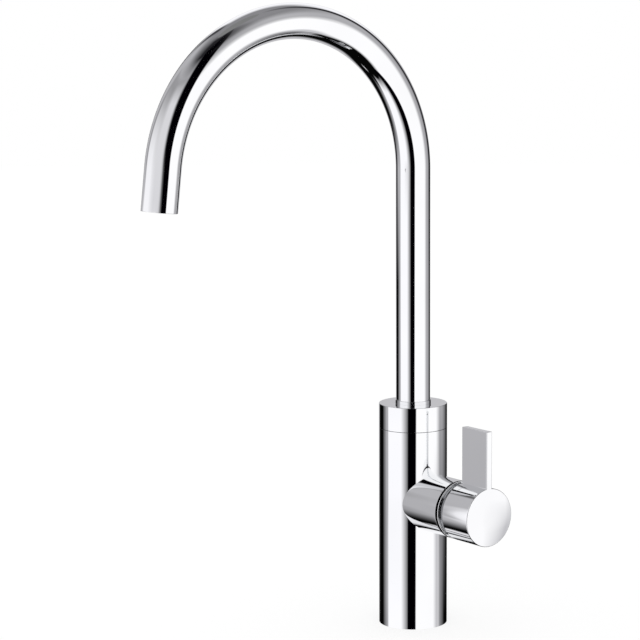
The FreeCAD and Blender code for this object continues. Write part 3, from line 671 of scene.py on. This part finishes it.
# ---------------------------------------------------------------- materials
def linear(hex_colour):
    """sRGB hex value to linear red, green, blue and alpha."""
    channels = [int(hex_colour[k:k + 2], 16) / 255 for k in (1, 3, 5)]
    return tuple(c / 12.92 if c <= 0.04045 else ((c + 0.055) / 1.055) ** 2.4
                 for c in channels) + (1.0,)


def add_node(tree, kind, settings=None, inputs=None):
    """Add a node, set its own settings, and fill or link its input sockets."""
    node = tree.nodes.new(kind)
    for name, value in (settings or {}).items():
        setattr(node, name, value)
    for name, value in (inputs or {}).items():
        if isinstance(value, bpy.types.NodeSocket):
            tree.links.new(value, node.inputs[name])
        else:
            node.inputs[name].default_value = value
    return node


def blended(tree, share, first, second):
    """Mix of two colours."""
    return add_node(tree, "ShaderNodeMix", {"data_type": "RGBA"},
                    {"Factor": share, "A": first, "B": second}).outputs["Result"]


def new_finish(name):
    """Empty material, its Principled shader and the object coordinates in metres."""
    finish = bpy.data.materials.new(name)
    finish.use_nodes = True
    tree = finish.node_tree
    shader = tree.nodes["Principled BSDF"]
    place = add_node(tree, "ShaderNodeTexCoord").outputs["Object"]
    return finish, tree, shader, place


def noise(tree, place, grain_mm, detail=2.0):
    """Noise whose blobs are about grain_mm across."""
    scale = 1000.0 / grain_mm
    return add_node(tree, "ShaderNodeTexNoise", None,
                    {"Vector": place, "Scale": scale, "Detail": detail}).outputs["Fac"]


def spread(tree, value, low, high):
    """Map a pattern's middle range to low..high."""
    return add_node(tree, "ShaderNodeMapRange", None, {
        "Value": value, "From Min": 0.3, "From Max": 0.7, "To Min": low, "To Max": high,
    }).outputs["Result"]


def bump(tree, shader, height, depth_mm):
    """Raise the surface by a pattern, depth_mm from its lowest to its highest."""
    node = add_node(tree, "ShaderNodeBump", None, {
        "Height": height, "Distance": depth_mm * MM, "Strength": 1.0})
    tree.links.new(node.outputs["Normal"], shader.inputs["Normal"])


def paint(tree, shader, pattern, tone, shade):
    """Base colour from tone to shade, shared out by a pattern."""
    colour = blended(tree, spread(tree, pattern, 0.0, 1.0), linear(tone), linear(shade))
    tree.links.new(colour, shader.inputs["Base Color"])


def roughen(tree, shader, pattern, low, high):
    """Roughness from low to high, shared out by a pattern."""
    tree.links.new(spread(tree, pattern, low, high), shader.inputs["Roughness"])


def chrome_plate(name, tone, haze_low, haze_high, cloud="#F3F4F5"):
    """Bright chrome over polished brass: a mirror with the polisher's faint waves and haze."""
    finish, tree, shader, place = new_finish(name)
    shader.inputs["Metallic"].default_value = 1.0
    paint(tree, shader, noise(tree, place, grain_mm=60.0), tone, cloud)
    roughen(tree, shader, noise(tree, place, grain_mm=9.0, detail=4.0), haze_low, haze_high)
    bump(tree, shader, noise(tree, place, grain_mm=14.0, detail=1.0), depth_mm=0.004)
    return finish


def machined_metal(name, tone, shade, line_mm, roughness):
    """Lathe-turned metal: fine rings left by the tool, a little uneven in colour."""
    finish, tree, shader, place = new_finish(name)
    shader.inputs["Metallic"].default_value = 1.0
    one_ring = 6.283             # radians
    uneven = 0.06
    rings = add_node(tree, "ShaderNodeTexWave", {"wave_type": "RINGS", "rings_direction": "Z"}, {
        "Vector": place, "Scale": 1000.0 / line_mm / one_ring, "Distortion": 0.6,
        "Detail": 1.0}).outputs["Fac"]
    patch = noise(tree, place, grain_mm=7.0, detail=3.0)
    paint(tree, shader, patch, tone, shade)
    roughen(tree, shader, patch, roughness - uneven, roughness + uneven)
    bump(tree, shader, rings, depth_mm=0.01)
    return finish


def moulded(name, tone, shade, roughness, grain_mm, depth_mm, ior=1.5):
    """Moulded plastic, rubber or ceramic: slight cloud in the colour and a fine skin."""
    finish, tree, shader, place = new_finish(name)
    shader.inputs["IOR"].default_value = ior
    uneven = 0.05
    paint(tree, shader, noise(tree, place, grain_mm=12.0, detail=3.0), tone, shade)
    skin = noise(tree, place, grain_mm)
    roughen(tree, shader, skin, roughness - uneven, roughness + uneven)
    bump(tree, shader, skin, depth_mm)
    return finish


def make_finishes():
    """One material for each finish that the pieces name."""
    return {
        "polished_chrome": chrome_plate("chrome_plate_polished", "#EEEFF0", 0.015, 0.035),
        "chrome_trim": chrome_plate("chrome_plate_trim", "#E9EAEB", 0.03, 0.06),
        # dark tone: painted shade of the narrow gap between the stub's end and the handle; the higher roughness is
        # a satin finish
        "painted_shade_ring": chrome_plate("chrome_plate_satin_painted_shade", "#8E8F92", 0.10, 0.16, "#989A9D"),
        "brass": machined_metal("brass_turned", "#C9A45C", "#B98F47", 0.35, 0.28),
        "copper_pipe": machined_metal("copper_drawn", "#C98562", "#B06E4E", 0.6, 0.3),
        "steel": machined_metal("stainless_steel_ground", "#B9BABC", "#A9AAAC", 0.4, 0.26),
        "cartridge_plastic": moulded("acetal_white_moulded", "#E4E3DC", "#DAD9D1",
                                     0.42, 0.6, 0.01),
        "dark_plastic": moulded("acetal_black_moulded", "#232426", "#1B1C1E", 0.4, 0.6, 0.01),
        "ceramic": moulded("alumina_lapped", "#ECE9E0", "#E3DFD4", 0.18, 1.2, 0.002, 1.76),
        "seal_rubber": moulded("rubber_moulded", "#17181A", "#0F1011", 0.62, 0.4, 0.02),
        "inner_hose": moulded("polyethylene_extruded", "#DDE1E3", "#D3D8DB",
                              0.35, 2.0, 0.01, 1.51),
    }


# ---------------------------------------------------------------- studio
GLOW = 1.12                  # makes up for what chrome swallows
FLOOR_DARK = linear("#060606")
ROOF_GREY = linear("#7C7C7C")
ROOF_RISE = 0.5              # upward part of a direction that meets the roof's full grey
CARD_LEAN = 9.0              # degrees for each metre up
WHITE = (1, 1, 1, 1)
FLOOR_PAINT = (0.9, 0.9, 0.9, 1)
FLOOR_GLOW = 1.06
FLOOR_GLOW_SHARE = 0.7       # of what the camera sees; the rest keeps the shadow


def dot(tree, vector, axis):
    """Length of a vector along an axis."""
    return add_node(tree, "ShaderNodeVectorMath", {"operation": "DOT_PRODUCT"},
                    {0: vector, 1: axis}).outputs["Value"]


def maths(tree, operation, *values):
    """One step of sums on numbers or sockets."""
    return add_node(tree, "ShaderNodeMath", {"operation": operation},
                    dict(enumerate(values))).outputs["Value"]


def span(tree, value, low, high):
    """0 below low, 1 above high, straight between."""
    return add_node(tree, "ShaderNodeMapRange", None, {
        "Value": value, "From Min": low, "From Max": high}).outputs["Result"]


def either(tree, share, first, second):
    """Mix of two shaders."""
    return add_node(tree, "ShaderNodeMixShader", None,
                    {"Fac": share, 1: first, 2: second}).outputs["Shader"]


def studio():
    """White world for the eye and for matt surfaces; mirrors see a grey roof and a dark floor."""
    world = bpy.data.worlds.new("studio")
    bpy.context.scene.world = world
    world.use_nodes = True
    tree = world.node_tree
    tree.nodes.clear()
    direction = add_node(tree, "ShaderNodeTexCoord").outputs["Generated"]
    rise = add_node(tree, "ShaderNodeSeparateXYZ", None, {"Vector": direction}).outputs["Z"]
    mirror = blended(tree, span(tree, rise, 0.0, ROOF_RISE), FLOOR_DARK, ROOF_GREY)
    glossy = add_node(tree, "ShaderNodeLightPath").outputs["Is Glossy Ray"]
    plain, shown = (
        add_node(tree, "ShaderNodeBackground", None, {"Color": colour, "Strength": strength})
        .outputs["Background"] for colour, strength in ((WHITE, 1.0), (mirror, GLOW)))
    add_node(tree, "ShaderNodeOutputWorld", None,
             {"Surface": either(tree, glossy, plain, shown)})


def stage_piece(name, points, faces, finish_name):
    """Piece of the studio; returns it and the still empty tree of its material."""
    mesh = bpy.data.meshes.new(name)
    mesh.from_pydata(points, [], faces)
    piece = bpy.data.objects.new(name, mesh)
    bpy.context.scene.collection.objects.link(piece)
    finish = bpy.data.materials.new(finish_name)
    finish.use_nodes = True
    finish.node_tree.nodes.clear()
    mesh.materials.append(finish)
    return piece, finish.node_tree


def window(tree, value, edges):
    """1 between the two middle edges, 0 outside the two outer ones, straight between."""
    opening = span(tree, value, edges[0], edges[1])
    closing = span(tree, value, edges[3], edges[2])
    return maths(tree, "MULTIPLY", opening, closing)


def cool(grey):
    """Cloth grey as the studio shows it: a little less green and more blue than neutral."""
    green, blue = max(grey - 1, 0), min(grey + 2, 255)
    return linear(f"#{grey:02X}{green:02X}{blue:02X}")


def tent():
    """Round studio tent that only mirrors see, painted cloth by cloth.

    Every cloth is (grey, turns, heights, ruler): the turns are degrees to the right of the
    photograph's camera, or by the ruler behind, of the point straight behind the tap, the
    heights are metres above the worktop, and each has four edges, outer, inner, inner, outer.
    The card leans to the right as it rises.
    """
    cloths = (
        # roof, brighter lower down and behind the tap
        (135, (-400, -300, 300, 400), (0.90, 1.30, 5.0, 6.0), "front"),
        (178, (-400, -300, 300, 400), (0.52, 0.68, 0.78, 1.3), "front"),
        (248, (-36, -24, 44, 52), (0.30, 0.60, 0.74, 1.1), "behind"),
        (190, (-17, -10, 24, 32), (-0.13, 0.12, 0.30, 0.60), "behind"),
        # grey cloths at both sides
        (180, (-119, -94, -60, -50), (-0.24, -0.08, 0.40, 0.60), "front"),
        (180, (-130, -120, -95, -88), (0.20, 0.30, 0.62, 0.80), "front"),
        (172, (70, 80, 112, 146), (-0.10, 0.10, 0.60, 0.90), "front"),
        (150, (70, 80, 98, 126), (-0.36, -0.22, -0.05, 0.10), "front"),
        # white cloths left and right
        (253, (-94, -88, -40, -14), (-0.62, -0.22, 0.30, 0.64), "front"),
        (255, (0, 6, 82, 100), (-0.62, -0.22, 0.52, 0.67), "front"),
        (198, (70, 84, 88, 98), (-0.50, -0.30, -0.02, 0.06), "front"),
        (216, (-60, -45, -29, -21), (0.26, 0.34, 0.54, 0.66), "front"),
        (140, (-97, -90, -87, -80), (0.30, 0.36, 0.50, 0.60), "front"),
        (176, (-101, -97, -91.3, -89.6), (-0.02, 0.01, 0.12, 0.22), "front"),
        # black card beside the camera, its shade on the roof, and dark stands further back
        (36, (-95, -35, 8, 52), (0.62, 0.90, 1.6, 3.0), "front"),
        (1, (-23.5, -18, 0, 5), (0.30, 0.40, 0.95, 1.3), "front"),
        (1, (-18, -16, 8, 11), (-4.0, -3.0, 0.74, 2.4), "card"),
        (40, (122, 132, 146, 154), (0.18, 0.30, 1.00, 2.0), "front"),
        (40, (-146, -138, -134, -124), (0.20, 0.30, 0.52, 0.60), "front"),
        (60, (-134, -126, -120, -110), (0.58, 0.70, 0.95, 1.1), "front"),
        # small lights low down behind the sides
        (228, (-132, -127, -122, -117), (-0.40, -0.35, -0.30, -0.27), "front"),
        (160, (98, 106, 120, 128), (-0.44, -0.35, -0.26, -0.18), "front"),
    )

    radius, low, high = 0.40, -0.8, 2.2
    rim = radius * spokes_at(np.linspace(0, 2 * np.pi, 241)[:-1])
    count = len(rim)
    points = [(x, y, z) for z in (low, high) for x, y in rim]
    faces = [(k, (k + 1) % count, count + (k + 1) % count, count + k) for k in range(count)]
    cloth, tree = stage_piece("tent", points, faces, "tent_cloth")
    for unseen in ("camera", "diffuse", "transmission", "volume_scatter", "shadow"):
        setattr(cloth, "visible_" + unseen, False)
    place = add_node(tree, "ShaderNodeTexCoord").outputs["Object"]
    height = add_node(tree, "ShaderNodeSeparateXYZ", None, {"Vector": place}).outputs["Z"]
    to_camera = (math.sin(PHOTO_AZIMUTH), -math.cos(PHOTO_AZIMUTH), 0.0)
    to_right = (math.cos(PHOTO_AZIMUTH), math.sin(PHOTO_AZIMUTH), 0.0)
    front, side = dot(tree, place, to_camera), dot(tree, place, to_right)
    turn = maths(tree, "DEGREES", maths(tree, "ARCTAN2", side, front))
    behind = maths(tree, "DEGREES", maths(tree, "ARCTAN2", maths(tree, "MULTIPLY", side, -1.0),
                                          maths(tree, "MULTIPLY", front, -1.0)))
    lean = maths(tree, "MULTIPLY", height, CARD_LEAN)
    rulers = {"front": turn, "behind": behind, "card": maths(tree, "SUBTRACT", turn, lean)}
    wall = FLOOR_DARK
    for grey, turns, heights, ruler in cloths:
        share = maths(tree, "MULTIPLY", window(tree, rulers[ruler], turns),
                      window(tree, height, heights))
        wall = blended(tree, share, wall, cool(grey))
    glow = add_node(tree, "ShaderNodeEmission", None, {"Color": wall, "Strength": GLOW})
    add_node(tree, "ShaderNodeOutputMaterial", None, {"Surface": glow.outputs["Emission"]})


def pale_floor():
    """Round matt floor that keeps a faint shadow; mirrors see the studio's own white table."""
    radius = 4.0
    angles = np.linspace(0, 2 * np.pi, 97)[:-1]
    rim = np.stack([radius * np.cos(angles), radius * np.sin(angles), 0 * angles], 1)
    floor, tree = stage_piece("floor", rim.tolist(), [list(range(len(rim)))], "floor_matt_white")
    floor.visible_glossy = False
    to_camera = add_node(tree, "ShaderNodeLightPath").outputs["Is Camera Ray"]
    matt = add_node(tree, "ShaderNodeBsdfDiffuse", None, {"Color": FLOOR_PAINT}).outputs["BSDF"]
    glow = add_node(tree, "ShaderNodeEmission", None, {"Color": WHITE, "Strength": FLOOR_GLOW})
    seen = either(tree, FLOOR_GLOW_SHARE, matt, glow.outputs["Emission"])
    add_node(tree, "ShaderNodeOutputMaterial", None,
             {"Surface": either(tree, to_camera, matt, seen)})


# ---------------------------------------------------------------- assembly
place_camera()
finishes = make_finishes()
slot_of = {entry["node"]: entry["material_slot"] for entry in frame["record"]["subparts"]}
for node, piece in NODES.items():
    piece.data.materials.clear()
    piece.data.materials.append(finishes[slot_of[node]])

REPLACED = (
    (round_body, "body_casing", "tap_body", "polished_chrome"),
    (collar, "top_collar", "tap_body", "polished_chrome"),
    (foot_ring, "spout_foot_ring", "tap_body", "chrome_trim"),
    # the dome's dark tone is painted shade for the gap it sits in
    (dome, "trim_dome", "tap_body", "painted_shade_ring"),
    (swan_neck, "spout_tube", "spout", "polished_chrome"),
    (handle, "lever_handle", "lever", "polished_chrome"),
)
for make, node, body, finish in REPLACED:
    piece = make()
    piece.data.materials.append(finishes[finish])
    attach(piece, body)
    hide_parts(node)

studio()
tent()
pale_floor()
bpy.context.scene.view_settings.view_transform = "Standard"
